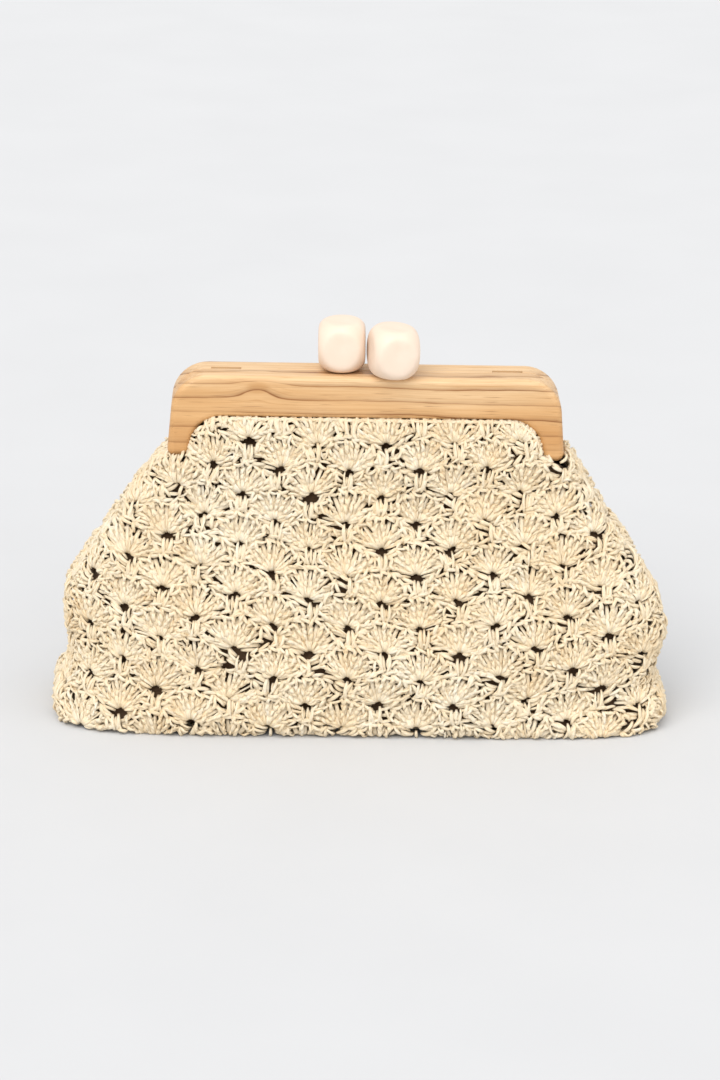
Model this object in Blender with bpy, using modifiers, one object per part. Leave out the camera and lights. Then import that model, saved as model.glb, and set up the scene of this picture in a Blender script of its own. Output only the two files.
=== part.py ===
"""Clutch purse: a crocheted straw pouch on a two-part wooden frame with a bead kiss lock.

Run with blender --background --python part.py, or from Blender's text editor. Metres, +Z up.
The purse stands on its base: X runs along its width, -Y is its front, and the origin is the
middle of the base. Both frame halves turn on two hinge pins under the ends of their legs.
"""

import math

import bmesh
import bpy
import numpy as np
from mathutils import Euler, Matrix, Vector

MM = 0.001
GAP = 0.3 * MM  # clearance between pieces that touch

# Frame: each half is a low arch cut from one board.
FRAME_WIDTH = 197 * MM
FRAME_TOP = 178.6 * MM  # height of the frame's top over the floor
LEG_BOTTOM = 136.5 * MM
BAR_HEIGHT = 21.1 * MM
HALF_THICKNESS = 14 * MM
LEG_FLARE = math.radians(4.0)  # the legs lean outwards towards their feet
OUTER_RADIUS = 18 * MM
INNER_RADIUS = 16 * MM
LEG_WIDTH = 11.3 * MM
FOOT_RADIUS = 3.9 * MM
EDGE_ROUND = 3.0 * MM
SEAM_EASE = 0.35 * MM
SEAM = GAP / 2  # each half's flat face is this far from the plane between them
PAST_FACE = 1.0 * MM  # how far a cutter runs past the face it opens

# Groove round the inside of each arch, with the strip that holds the fabric in it.
GROOVE_DEPTH = 3.0 * MM
GROOVE_NEAR = 5.5 * MM
GROOVE_FAR = 8.5 * MM
STRIP_NEAR_EDGE = 0.9 * MM
STRIP_FAR_EDGE = 2.7 * MM

# Fabric inside each arch: distances of its layers from the seam plane.
CROCHET_TOP = (9.0 * MM, 12.0 * MM)
LINING_TOP = (4.0 * MM, 5.0 * MM)
FABRIC_EDGE_GAP = 0.8 * MM
FABRIC_TOP_FOOT = 139.0 * MM

# Hinges, one under each pair of legs.
HINGE_HEIGHT = 135.0 * MM
HINGE_X = 93.1 * MM
LEAF_WIDTH = 6.0 * MM
LEAF_TOP = 148.0 * MM
LEAF_THICKNESS = 0.8 * MM
LEAF_FACE = 0.2 * MM  # distance of the leaf's face from the seam plane
BARREL_RADIUS = 1.75 * MM
PIN_RADIUS = 0.85 * MM
PIN_HEAD_RADIUS = 1.2 * MM
LEAF_SCREWS = (140.6 * MM, 145.4 * MM)
SCREW_HEAD = 1.6 * MM
SCREW_SHANK = 0.8 * MM
SCREW_LENGTH = 7.0 * MM
SCREW_SLOT_WIDTH = 0.44 * MM
SCREW_SLOT_DEPTH = 0.3 * MM
SCREW_SUNK = 0.05 * MM  # depth of the screw's head under the leaf's face
COUNTERSINK_GAP = 0.15 * MM
PIN_BORE_GAP = 0.12 * MM
PIN_HEAD = 0.4 * MM

# Kiss lock: two polished beads side by side, each on a stud in its own half.
BEAD_HALF = 12.2 * MM
BEAD_BALL = 15.4 * MM  # radius of the ball that rounds off the bead's edges and corners
BEAD_STRETCH = (0.955, 1.12, 1.01)  # the bead is deeper than it is wide
BEAD_X = 12.6 * MM
BEAD_Y = {"front": -8.0 * MM, "rear": 3.0 * MM}
BEAD_LIFT = 0.4 * MM
BEAD_TURNS = {"front": (0, 3, 10), "rear": (0, -1, -2)}  # degrees about X, Y and Z
STUD_RADIUS = 1.6 * MM
STUD_IN_WOOD = 10 * MM
STUD_IN_BEAD = 8 * MM
BEAD_FACE_POWER = 16  # a higher power gives flatter faces
BEAD_RIM_POWER = 26  # a higher power gives crisper rims between the faces and the ball

# Strap loops that slide up out of mortises in the rear half.
MORTISE_X = 69.8 * MM
MORTISE_LENGTH = 15.0 * MM
MORTISE_WIDTH = 2.4 * MM
MORTISE_DEPTH = 17.0 * MM
LOOP_WIDTH = 13.2 * MM
LOOP_HEIGHT = 15.2 * MM
LOOP_WIRE = 0.8 * MM
LOOP_CORNER = 3.0 * MM
LOOP_SUNK = 1.1 * MM
LOOP_PIN_RADIUS = 0.8 * MM
LOOP_PIN_GAP = 0.15 * MM
LOOP_PIN_IN_WOOD = 4.0 * MM  # how far the keeper pin runs past the mortise
LOOP_PIN_DROP = 5.4 * MM  # depth of the keeper pin's axis under the frame's top

# Pouch: half width and half depth of its outside at each height.
WALL = 3.0 * MM
LINING_GAP = 0.5 * MM
LINING_WALL = 1.0 * MM
ROUNDNESS = 3.2  # exponent of the oval sections: 2 is an ellipse, more is boxier
POUCH_LEVELS = (
    (0, 145, 40),
    (5, 152, 44.5),
    (14, 157, 47),
    (30, 154, 46.5),
    (48, 154, 43),
    (66, 150, 38),
    (85, 140, 32.5),
    (105, 125.5, 27),
    (124, 113, 21.5),
)  # millimetres
SECTION_STEPS = 20

COLOURS = {
    "wood": ((0.83, 0.60, 0.36), 0.5, 0.0),
    "bead": ((1.0, 0.84, 0.70), 0.22, 0.0),
    "brass": ((0.83, 0.62, 0.30), 0.3, 1.0),
    "steel": ((0.62, 0.60, 0.57), 0.35, 1.0),
    "raffia": ((0.85, 0.75, 0.54), 0.75, 0.0),
    "lining": ((0.33, 0.24, 0.17), 0.85, 0.0),
    "strip": ((0.72, 0.60, 0.44), 0.7, 0.0),
}


def clear_scene():
    for obj in list(bpy.data.objects):
        bpy.data.objects.remove(obj)


def new_collection(name):
    made = bpy.data.collections.new(name)
    bpy.context.scene.collection.children.link(made)
    return made


def make_materials():
    made = {}
    for name, (colour, roughness, metallic) in COLOURS.items():
        made[name] = bpy.data.materials.new(name)
        made[name].use_nodes = True
        shader = made[name].node_tree.nodes["Principled BSDF"]
        shader.inputs["Base Color"].default_value = (*colour, 1.0)
        shader.inputs["Roughness"].default_value = roughness
        shader.inputs["Metallic"].default_value = metallic
    return made


clear_scene()
PARTS = new_collection("clutch_purse")
CUTTERS = new_collection("cutters")
MATERIALS = make_materials()


def add_mesh(name, mesh, material, location=(0, 0, 0), turn=(0, 0, 0)):
    """A part made of this mesh, in the parts collection."""
    obj = bpy.data.objects.new(name, mesh)
    obj.location = location
    obj.rotation_euler = turn
    if not mesh.materials:
        mesh.materials.append(MATERIALS[material])
    PARTS.objects.link(obj)
    return obj


def add_pivot(name, location, followers):
    """An empty on a joint's axis that carries the parts that turn about it."""
    pivot = bpy.data.objects.new(name, None)
    pivot.location = location
    pivot.empty_display_size = LEAF_WIDTH
    PARTS.objects.link(pivot)
    for obj in followers:
        obj.parent = pivot
        obj.location -= pivot.location


def add_cutter(name, mesh, location=(0, 0, 0), turn=(0, 0, 0)):
    obj = bpy.data.objects.new(name, mesh)
    obj.location = location
    obj.rotation_euler = turn
    obj.hide_render = True
    obj.display_type = "WIRE"
    CUTTERS.objects.link(obj)
    return obj


def boolean(obj, other, operation="DIFFERENCE"):
    modifier = obj.modifiers.new(f"{operation.lower()} {other.name}", "BOOLEAN")
    modifier.operation = operation
    modifier.object = other


def mesh_of(name, bm, smooth_angle=None):
    bmesh.ops.recalc_face_normals(bm, faces=bm.faces)
    mesh = bpy.data.meshes.new(name)
    bm.to_mesh(mesh)
    bm.free()
    if smooth_angle is not None:
        mesh.shade_smooth()
        mesh.set_sharp_from_angle(angle=math.radians(smooth_angle))
    return mesh


def box_mesh(name, low, high):
    bm = bmesh.new()
    low, high = Vector(low), Vector(high)
    place = Matrix.LocRotScale((low + high) / 2, None, high - low)
    bmesh.ops.create_cube(bm, size=1, matrix=place)
    return mesh_of(name, bm)


def rod_mesh(name, radius, length, sides=16):
    """A cylinder along Z, centred on the origin."""
    bm = bmesh.new()
    bmesh.ops.create_cone(
        bm, cap_ends=True, segments=sides, radius1=radius, radius2=radius, depth=length
    )
    return mesh_of(name, bm, smooth_angle=40)


ALONG_X = (0, math.pi / 2, 0)
ALONG_Y = (math.pi / 2, 0, 0)


def arc(centre_x, centre_z, radius, start, end, steps):
    """Points on an arc, with angles in degrees from +X towards +Z."""
    angles = np.radians(np.linspace(start, end, steps + 1))
    return [
        (centre_x + radius * math.cos(a), centre_z + radius * math.sin(a)) for a in angles
    ]


def mirrored(right_side):
    """A closed outline from its right side, listed from the top down to the bottom."""
    return right_side + [(-x, z) for x, z in reversed(right_side)]


def opening_side(reach, bottom):
    """Right side of the arch's opening, grown by reach, from the top middle down."""
    inner_x = FRAME_WIDTH / 2 - LEG_WIDTH
    centre_x = inner_x - INNER_RADIUS
    centre_z = FRAME_TOP - BAR_HEIGHT - INNER_RADIUS
    return arc(centre_x, centre_z, INNER_RADIUS + reach, 90, 0, 8) + [(inner_x + reach, bottom)]


def arch_outline():
    """Outline of one frame half, as seen from the front."""
    flare = math.degrees(LEG_FLARE)
    foot_x = FRAME_WIDTH / 2
    reach = FRAME_TOP - LEG_BOTTOM - OUTER_RADIUS * (1 - math.sin(LEG_FLARE))
    corner_x = foot_x - reach * math.tan(LEG_FLARE) - OUTER_RADIUS * math.cos(LEG_FLARE)
    outer = arc(corner_x, FRAME_TOP - OUTER_RADIUS, OUTER_RADIUS, 90, flare, 12)
    outer_foot = arc(
        foot_x - FOOT_RADIUS, LEG_BOTTOM + FOOT_RADIUS, FOOT_RADIUS, flare, -90, 5
    )
    inner_x = foot_x - LEG_WIDTH
    inner_foot = arc(
        inner_x + FOOT_RADIUS, LEG_BOTTOM + FOOT_RADIUS, FOOT_RADIUS, -90, -180, 4
    )
    inner_corner = list(reversed(opening_side(0, LEG_BOTTOM)[:-1]))
    return mirrored(outer + outer_foot + inner_foot + inner_corner)


def board(name, outline, thickness):
    """An upright board with this outline in X and Z, centred on Y, as a mesh with clean faces."""
    curve = bpy.data.curves.new(name, "CURVE")
    curve.dimensions = "2D"
    curve.fill_mode = "BOTH"
    curve.extrude = thickness / 2
    spline = curve.splines.new("POLY")
    spline.points.add(len(outline) - 1)
    for point, (x, z) in zip(spline.points, outline):
        point.co = (x, z, 0, 1)
    spline.use_cyclic_u = True
    drawn = bpy.data.objects.new(name, curve)
    bpy.context.scene.collection.objects.link(drawn)
    graph = bpy.context.evaluated_depsgraph_get()
    mesh = bpy.data.meshes.new_from_object(drawn.evaluated_get(graph))
    bpy.data.objects.remove(drawn)
    bm = bmesh.new()
    bm.from_mesh(mesh)
    bpy.data.meshes.remove(mesh)
    bmesh.ops.remove_doubles(bm, verts=bm.verts, dist=1e-6)
    bmesh.ops.dissolve_limit(bm, angle_limit=0.01, verts=bm.verts, edges=bm.edges)
    bmesh.ops.rotate(bm, cent=(0, 0, 0), matrix=Matrix.Rotation(math.pi / 2, 3, "X"), verts=bm.verts)
    return mesh_of(name, bm)


def round_edges(obj, side):
    """Rounds the edges of the half's outer face, and eases those of its flat face."""
    bm = bmesh.new()
    bm.from_mesh(obj.data)
    layers = {
        "outer_round": bm.edges.layers.float.new("outer_round"),
        "seam_ease": bm.edges.layers.float.new("seam_ease"),
    }
    for edge in bm.edges:
        depth = [v.co.y * side for v in edge.verts]
        if min(depth) > 0:
            edge[layers["outer_round"]] = 1
        elif max(depth) < 0:
            edge[layers["seam_ease"]] = 1
    bm.to_mesh(obj.data)
    bm.free()
    for name, width, segments in (
        ("outer_round", EDGE_ROUND, 4),
        ("seam_ease", SEAM_EASE, 1),
    ):
        bevel = obj.modifiers.new(name, "BEVEL")
        bevel.limit_method = "WEIGHT"
        bevel.edge_weight = name
        bevel.width = width
        bevel.segments = segments
        bevel.use_clamp_overlap = False


def side_y(side, near, far):
    """The two Y values of a span between these distances from the seam plane."""
    return (near, far) if side > 0 else (-far, -near)


def make_frame_half(end, side):
    """The wooden arch of one half. side is -1 at the front and 1 at the rear."""
    middle = side * (SEAM + HALF_THICKNESS / 2)
    wood = add_mesh(
        f"{end}_frame_wood", board("arch", arch_outline(), HALF_THICKNESS), "wood", (0, middle, 0)
    )
    round_edges(wood, side)

    under_foot = LEG_BOTTOM - PAST_FACE
    groove_outline = mirrored(opening_side(GROOVE_DEPTH, under_foot))
    groove = add_cutter(
        f"{end}_groove",
        board("groove", groove_outline, GROOVE_FAR - GROOVE_NEAR),
        (0, side * (GROOVE_NEAR + GROOVE_FAR) / 2, 0),
    )
    boolean(wood, groove)

    near, far = side_y(side, -PAST_FACE, LEAF_FACE + LEAF_THICKNESS + GAP)
    for hand in (-1, 1):
        middle_x = hand * HINGE_X
        reach = LEAF_WIDTH / 2 + GAP
        recess = add_cutter(
            f"{end}_leaf_recess_{hand}",
            box_mesh(
                "recess",
                (middle_x - reach, near, under_foot),
                (middle_x + reach, far, LEAF_TOP + GAP),
            ),
        )
        boolean(wood, recess)
        for height in LEAF_SCREWS:
            hole = add_cutter(
                f"{end}_screw_hole_{hand}_{height / MM:.0f}",
                rod_mesh("screw_hole", SCREW_SHANK + GAP, 2 * (SCREW_LENGTH + PAST_FACE), 12),
                (middle_x, 0, height),
                ALONG_Y,
            )
            boolean(wood, hole)

    stud_hole = add_cutter(
        f"{end}_stud_hole",
        rod_mesh("stud_hole", STUD_RADIUS + GAP, 2 * (STUD_IN_WOOD + GAP)),
        (-side * BEAD_X, BEAD_Y[end], FRAME_TOP),
    )
    boolean(wood, stud_hole)
    return wood


def make_retaining_strip(end, side):
    """The bent strip that wedges the fabric's edge into the groove."""
    foot = LEG_BOTTOM + STRIP_NEAR_EDGE
    outer = mirrored(opening_side(STRIP_FAR_EDGE, foot))
    inner = mirrored(opening_side(STRIP_NEAR_EDGE, foot))
    middle = len(outer) // 2
    outline = outer[middle:] + outer[:middle] + list(reversed(inner[middle:] + inner[:middle]))
    thickness = GROOVE_FAR - GROOVE_NEAR - 2 * GAP
    add_mesh(
        f"{end}_retaining_strip",
        board("retaining_strip", outline, thickness),
        "strip",
        (0, side * (GROOVE_NEAR + GROOVE_FAR) / 2, 0),
    )


def make_fabric_top(end, side, name, material, span):
    """The fabric that fills one arch, as a plain board from the bar down to the hinges."""
    near, far = span
    outline = mirrored(opening_side(-FABRIC_EDGE_GAP, FABRIC_TOP_FOOT))
    add_mesh(
        f"{end}_{name}",
        board(name, outline, far - near),
        material,
        (0, side * (near + far) / 2, 0),
    )


def leaf_mesh(side, hand):
    """A hinge leaf: its plate, its share of the barrel round the pin, and the tabs between."""
    middle_x = hand * HINGE_X
    third = LEAF_WIDTH / 3
    thirds = (0,) if side < 0 else (-1, 1)
    near, far = side_y(side, LEAF_FACE, LEAF_FACE + LEAF_THICKNESS)
    plate = add_cutter(
        "leaf_plate",
        box_mesh(
            "plate",
            (middle_x - LEAF_WIDTH / 2, near, HINGE_HEIGHT + BARREL_RADIUS + GAP),
            (middle_x + LEAF_WIDTH / 2, far, LEAF_TOP),
        ),
    )
    for share in thirds:
        half = third / 2 - GAP / 2
        x = middle_x + share * third
        tab = add_cutter(
            "leaf_tab",
            box_mesh(
                "tab",
                (x - half, near, HINGE_HEIGHT + PIN_RADIUS / 2),
                (x + half, far, HINGE_HEIGHT + BARREL_RADIUS + PAST_FACE),
            ),
        )
        barrel = add_cutter(
            "leaf_barrel",
            rod_mesh("barrel", BARREL_RADIUS, 2 * half),
            (x, 0, HINGE_HEIGHT),
            ALONG_X,
        )
        boolean(plate, tab, "UNION")
        boolean(plate, barrel, "UNION")
    bore = add_cutter(
        "leaf_bore",
        rod_mesh("bore", PIN_RADIUS + PIN_BORE_GAP, 2 * LEAF_WIDTH),
        (middle_x, 0, HINGE_HEIGHT),
        ALONG_X,
    )
    boolean(plate, bore)
    for height in LEAF_SCREWS:
        sink = add_cutter(
            "leaf_sink", countersink_mesh(), (middle_x, side * LEAF_FACE, height), facing(side)
        )
        boolean(plate, sink)
    graph = bpy.context.evaluated_depsgraph_get()
    mesh = bpy.data.meshes.new_from_object(plate.evaluated_get(graph))
    for modifier in plate.modifiers:
        bpy.data.objects.remove(modifier.object)
    bpy.data.objects.remove(plate)
    return mesh


def facing(side):
    """Turns a piece whose axis is +Z so that +Z points from the wood to the seam plane."""
    return (side * math.pi / 2, 0, 0)


def turned_mesh(name, profile, sides):
    """A turned solid from a profile of (radius, height) points, listed down its outer side."""
    bm = bmesh.new()
    points = [bm.verts.new((radius, 0, height)) for radius, height in profile]
    for a, b in zip(points, points[1:]):
        bm.edges.new((a, b))
    mesh = bpy.data.meshes.new(name)
    bm.to_mesh(mesh)
    bm.free()
    drawn = bpy.data.objects.new(name, mesh)
    bpy.context.scene.collection.objects.link(drawn)
    screw = drawn.modifiers.new("turn", "SCREW")
    screw.steps = sides
    screw.render_steps = sides
    screw.use_merge_vertices = True
    screw.merge_threshold = 1e-6
    graph = bpy.context.evaluated_depsgraph_get()
    made = bpy.data.meshes.new_from_object(drawn.evaluated_get(graph))
    bpy.data.objects.remove(drawn)
    bm = bmesh.new()
    bm.from_mesh(made)
    bpy.data.meshes.remove(made)
    bmesh.ops.remove_doubles(bm, verts=bm.verts, dist=1e-6)
    return mesh_of(name, bm, smooth_angle=35)


def countersink_mesh():
    wide, narrow = SCREW_HEAD + COUNTERSINK_GAP, SCREW_SHANK + COUNTERSINK_GAP
    foot = -LEAF_THICKNESS - PAST_FACE
    profile = [
        (0, PAST_FACE),
        (wide, PAST_FACE),
        (wide, 0),
        (narrow, -LEAF_THICKNESS),
        (narrow, foot),
        (0, foot),
    ]
    return turned_mesh("countersink", profile, 12)


def screw_mesh():
    """A countersunk wood screw with its head's face at the origin and a slot across it."""
    profile = [
        (0, 0),
        (SCREW_HEAD, 0),
        (SCREW_SHANK, -LEAF_THICKNESS),
        (SCREW_SHANK, -0.8 * SCREW_LENGTH),
        (0, -SCREW_LENGTH),
    ]
    body = add_cutter("screw_body", turned_mesh("screw", profile, 12), (0, 0, 0))
    slot = add_cutter(
        "screw_slot",
        box_mesh(
            "slot",
            (-SCREW_HEAD - PAST_FACE, -SCREW_SLOT_WIDTH / 2, -SCREW_SLOT_DEPTH),
            (SCREW_HEAD + PAST_FACE, SCREW_SLOT_WIDTH / 2, PAST_FACE),
        ),
    )
    boolean(body, slot)
    graph = bpy.context.evaluated_depsgraph_get()
    mesh = bpy.data.meshes.new_from_object(body.evaluated_get(graph))
    bpy.data.objects.remove(body)
    bpy.data.objects.remove(slot)
    mesh.materials.append(MATERIALS["steel"])
    return mesh


def make_hinge_leaves(end, side, screw):
    for hand, place in ((-1, "left"), (1, "right")):
        add_mesh(f"{end}_hinge_leaf_{place}", leaf_mesh(side, hand), "brass")
        for level, height in zip(("lower", "upper"), LEAF_SCREWS):
            add_mesh(
                f"{end}_{level}_screw_{place}",
                screw,
                "steel",
                (hand * HINGE_X, side * (LEAF_FACE + SCREW_SUNK), height),
                facing(side),
            )


def make_hinge_pins():
    reach = LEAF_WIDTH / 2 + GAP / 2
    end = reach + PIN_HEAD
    profile = [
        (0, end),
        (PIN_HEAD_RADIUS, end),
        (PIN_HEAD_RADIUS, reach),
        (PIN_RADIUS, reach),
        (PIN_RADIUS, -reach),
        (PIN_HEAD_RADIUS, -reach),
        (PIN_HEAD_RADIUS, -end),
        (0, -end),
    ]
    mesh = turned_mesh("hinge_pin", profile, 16)
    for hand, place in ((-1, "left"), (1, "right")):
        add_mesh(
            f"hinge_pin_{place}", mesh, "brass", (hand * HINGE_X, 0, HINGE_HEIGHT), ALONG_X
        )


def bead_mesh():
    """A block whose edges and corners are rounded off by a ball, with softly polished rims."""
    bm = bmesh.new()
    bmesh.ops.create_cube(bm, size=2)
    bmesh.ops.subdivide_edges(bm, edges=bm.edges, cuts=7, use_grid_fill=True)
    for vert in bm.verts:
        spread = Vector([math.tan(c * math.pi / 4) for c in vert.co])
        way = spread.normalized()
        cube = BEAD_HALF / sum(abs(c) ** BEAD_FACE_POWER for c in way) ** (1 / BEAD_FACE_POWER)
        reach = (cube**-BEAD_RIM_POWER + BEAD_BALL**-BEAD_RIM_POWER) ** (-1 / BEAD_RIM_POWER)
        vert.co = way * reach * Vector(BEAD_STRETCH)
    return mesh_of("bead", bm, smooth_angle=60)


def make_kiss_lock(end, side):
    """The bead of one half, on its stud. The front bead is on the right, the rear one on the left."""
    x, y = -side * BEAD_X, BEAD_Y[end]
    half_height = BEAD_HALF * BEAD_STRETCH[2]
    centre = Vector((x, y, FRAME_TOP + BEAD_LIFT + half_height))
    turn = Euler([math.radians(a) for a in BEAD_TURNS[end]])
    bead = add_mesh(f"{end}_bead", bead_mesh(), "bead", centre, turn)
    bottom = centre.z - half_height
    hole = add_cutter(
        f"{end}_bead_hole",
        rod_mesh("bead_hole", STUD_RADIUS + GAP, 2 * (STUD_IN_BEAD + GAP)),
        (x, y, bottom),
    )
    boolean(bead, hole)
    low = FRAME_TOP - STUD_IN_WOOD
    high = bottom + STUD_IN_BEAD
    add_mesh(
        f"{end}_bead_stud",
        rod_mesh("stud", STUD_RADIUS, high - low),
        "brass",
        (x, y, (low + high) / 2),
    )


def loop_mesh():
    """A closed wire loop with round corners, upright in X and Z, with its foot at the origin."""
    half = LOOP_WIDTH / 2 - LOOP_WIRE
    top = LOOP_HEIGHT - 2 * LOOP_WIRE
    corner_x = half - LOOP_CORNER
    route = (
        arc(corner_x, top - LOOP_CORNER, LOOP_CORNER, 90, 0, 5)
        + arc(corner_x, LOOP_CORNER, LOOP_CORNER, 0, -90, 5)
    )
    curve = bpy.data.curves.new("strap_loop", "CURVE")
    curve.dimensions = "3D"
    curve.bevel_depth = LOOP_WIRE
    curve.bevel_resolution = 2
    spline = curve.splines.new("POLY")
    points = mirrored(route)
    spline.points.add(len(points) - 1)
    for point, (x, z) in zip(spline.points, points):
        point.co = (x, 0, z + LOOP_WIRE, 1)
    spline.use_cyclic_u = True
    drawn = bpy.data.objects.new("strap_loop", curve)
    bpy.context.scene.collection.objects.link(drawn)
    graph = bpy.context.evaluated_depsgraph_get()
    mesh = bpy.data.meshes.new_from_object(drawn.evaluated_get(graph))
    bpy.data.objects.remove(drawn)
    bm = bmesh.new()
    bm.from_mesh(mesh)
    bpy.data.meshes.remove(mesh)
    bmesh.ops.remove_doubles(bm, verts=bm.verts, dist=1e-6)
    return mesh_of("strap_loop", bm, smooth_angle=60)


def make_strap_loops(rear_wood):
    """The two loops that pull up through the frame's top, each kept in by a pin."""
    loops = []
    y = SEAM + MORTISE_WIDTH / 2
    loop_foot = FRAME_TOP - LOOP_SUNK - LOOP_HEIGHT
    pin_height = FRAME_TOP - LOOP_PIN_DROP
    pin_near, pin_far = SEAM + GAP, SEAM + MORTISE_WIDTH + LOOP_PIN_IN_WOOD
    for hand, place in ((-1, "left"), (1, "right")):
        x = hand * MORTISE_X
        mortise = add_cutter(
            f"mortise_{place}",
            box_mesh(
                "mortise",
                (x - MORTISE_LENGTH / 2, SEAM - PAST_FACE, FRAME_TOP - MORTISE_DEPTH),
                (x + MORTISE_LENGTH / 2, SEAM + MORTISE_WIDTH, FRAME_TOP + PAST_FACE),
            ),
        )
        boolean(rear_wood, mortise)
        pin_hole = add_cutter(
            f"loop_pin_hole_{place}",
            rod_mesh("loop_pin_hole", LOOP_PIN_RADIUS + LOOP_PIN_GAP, 2 * (pin_far + GAP), 12),
            (x, 0, pin_height),
            ALONG_Y,
        )
        boolean(rear_wood, pin_hole)
        loops.append(add_mesh(f"strap_loop_{place}", loop_mesh(), "brass", (x, y, loop_foot)))
        loops.append(add_mesh(
            f"strap_loop_pin_{place}",
            rod_mesh("loop_pin", LOOP_PIN_RADIUS, pin_far - pin_near, 12),
            "steel",
            (x, (pin_near + pin_far) / 2, pin_height),
            ALONG_Y,
        ))
    return loops


def section(half_width, half_depth, height, steps):
    """Points of the front half of an oval section, from its right end round to its left."""
    points = []
    for angle in np.linspace(0, math.pi, steps + 1):
        c, s = math.cos(angle), math.sin(angle)
        x = half_width * math.copysign(abs(c) ** (2 / ROUNDNESS), c)
        y = half_depth * abs(s) ** (2 / ROUNDNESS)
        points.append((x, -y, height))
    return points


def pouch_levels(inset, floor):
    """(half width, half depth, height) from the rim down, inset from the outside surface."""
    levels = []
    for height, half_width, half_depth in reversed(POUCH_LEVELS):
        z = max(height * MM, floor)
        levels.append((half_width * MM - inset, half_depth * MM - inset, z))
    return levels


def make_pouch_half(end, side):
    """Half of the crocheted pouch, from the side seams and the middle of the base outwards."""
    bm = bmesh.new()
    shells = []
    for inset, floor in ((0, 0), (WALL, WALL)):
        rings = []
        for half_width, half_depth, z in pouch_levels(inset, floor):
            ring = []
            for x, y, height in section(half_width, half_depth, z, SECTION_STEPS):
                ring.append(bm.verts.new((x, -side * min(y, -SEAM), height)))
            rings.append(ring)
        shells.append(rings)
    outer, inner = shells
    for rings in shells:
        for upper, lower in zip(rings, rings[1:]):
            for i in range(SECTION_STEPS):
                bm.faces.new((upper[i], upper[i + 1], lower[i + 1], lower[i]))
        bm.faces.new(rings[-1])
    for i in range(SECTION_STEPS):
        bm.faces.new((outer[0][i], outer[0][i + 1], inner[0][i + 1], inner[0][i]))
    for end_point in (0, -1):
        for level in range(len(outer) - 1):
            bm.faces.new(
                (
                    outer[level][end_point],
                    outer[level + 1][end_point],
                    inner[level + 1][end_point],
                    inner[level][end_point],
                )
            )
    bm.faces.new((outer[-1][0], outer[-1][-1], inner[-1][-1], inner[-1][0]))
    add_mesh(f"crochet_{end}", mesh_of(f"crochet_{end}", bm, smooth_angle=40), "raffia")


def make_lining():
    """The sewn cloth bag inside the pouch, open at its top."""
    bm = bmesh.new()
    skins = []
    for inset in (WALL + LINING_GAP, WALL + LINING_GAP + LINING_WALL):
        rings = []
        for half_width, half_depth, z in pouch_levels(inset, inset):
            front = section(half_width, half_depth, z, SECTION_STEPS)
            rear = [(x, -y, z) for x, y, z in reversed(front[1:-1])]
            rings.append([bm.verts.new(point) for point in front + rear])
        skins.append(rings)
        for upper, lower in zip(rings, rings[1:]):
            for i in range(len(upper)):
                j = (i + 1) % len(upper)
                bm.faces.new((upper[i], upper[j], lower[j], lower[i]))
        bm.faces.new(rings[-1])
    outer, inner = skins[0][0], skins[1][0]
    for i in range(len(outer)):
        j = (i + 1) % len(outer)
        bm.faces.new((outer[i], outer[j], inner[j], inner[i]))
    add_mesh("lining", mesh_of("lining", bm, smooth_angle=40), "lining")


def main():
    screw = screw_mesh()
    for end, side in (("front", -1), ("rear", 1)):
        wood = make_frame_half(end, side)
        make_retaining_strip(end, side)
        make_fabric_top(end, side, "crochet_top", "raffia", CROCHET_TOP)
        make_fabric_top(end, side, "lining_top", "lining", LINING_TOP)
        make_hinge_leaves(end, side, screw)
        make_kiss_lock(end, side)
        half = [obj for obj in PARTS.objects if obj.name.startswith(end)]
        if end == "rear":
            half += make_strap_loops(wood)
        add_pivot(f"{end}_pivot", (0, 0, HINGE_HEIGHT), half)
        make_pouch_half(end, side)
    make_hinge_pins()
    make_lining()


main()
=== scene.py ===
"""Looks for the crocheted clutch purse: wood, beads and metal on the CAD pieces, real strands
of paper straw for the crochet, and a cloth lining."""

import math

import bmesh
import bpy
import numpy as np
from mathutils import Euler, Matrix, Vector


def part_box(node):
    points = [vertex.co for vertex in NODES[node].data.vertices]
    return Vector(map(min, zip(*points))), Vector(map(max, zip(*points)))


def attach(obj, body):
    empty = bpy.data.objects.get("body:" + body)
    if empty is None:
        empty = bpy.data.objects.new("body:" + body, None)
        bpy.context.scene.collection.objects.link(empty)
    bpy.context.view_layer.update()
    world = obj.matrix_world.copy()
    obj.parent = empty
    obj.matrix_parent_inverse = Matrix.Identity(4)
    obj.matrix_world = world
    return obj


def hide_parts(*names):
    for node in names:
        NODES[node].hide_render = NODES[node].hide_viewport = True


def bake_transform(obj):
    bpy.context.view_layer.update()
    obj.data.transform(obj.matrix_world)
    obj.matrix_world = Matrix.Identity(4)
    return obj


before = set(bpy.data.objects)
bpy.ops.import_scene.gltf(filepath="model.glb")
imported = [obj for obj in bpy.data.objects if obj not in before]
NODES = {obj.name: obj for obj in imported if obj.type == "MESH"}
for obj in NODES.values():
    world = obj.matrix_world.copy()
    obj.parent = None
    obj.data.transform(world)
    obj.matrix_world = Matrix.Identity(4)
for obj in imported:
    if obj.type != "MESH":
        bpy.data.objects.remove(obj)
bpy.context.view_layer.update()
MM = 0.001
RNG = np.random.default_rng(12)

# ---------------------------------------------------------------- measurements, in millimetres

WOOD_LOW, WOOD_HIGH = (np.array(corner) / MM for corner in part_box("front_frame_wood"))
HALF_WIDTH = WOOD_HIGH[0]
BAR_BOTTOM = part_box("front_crochet_top")[1].z / MM + 0.8
LEG_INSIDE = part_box("front_crochet_top")[1].x / MM + 0.8
ARCH_RADIUS = 16.0
FOOT = WOOD_LOW[2]

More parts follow.
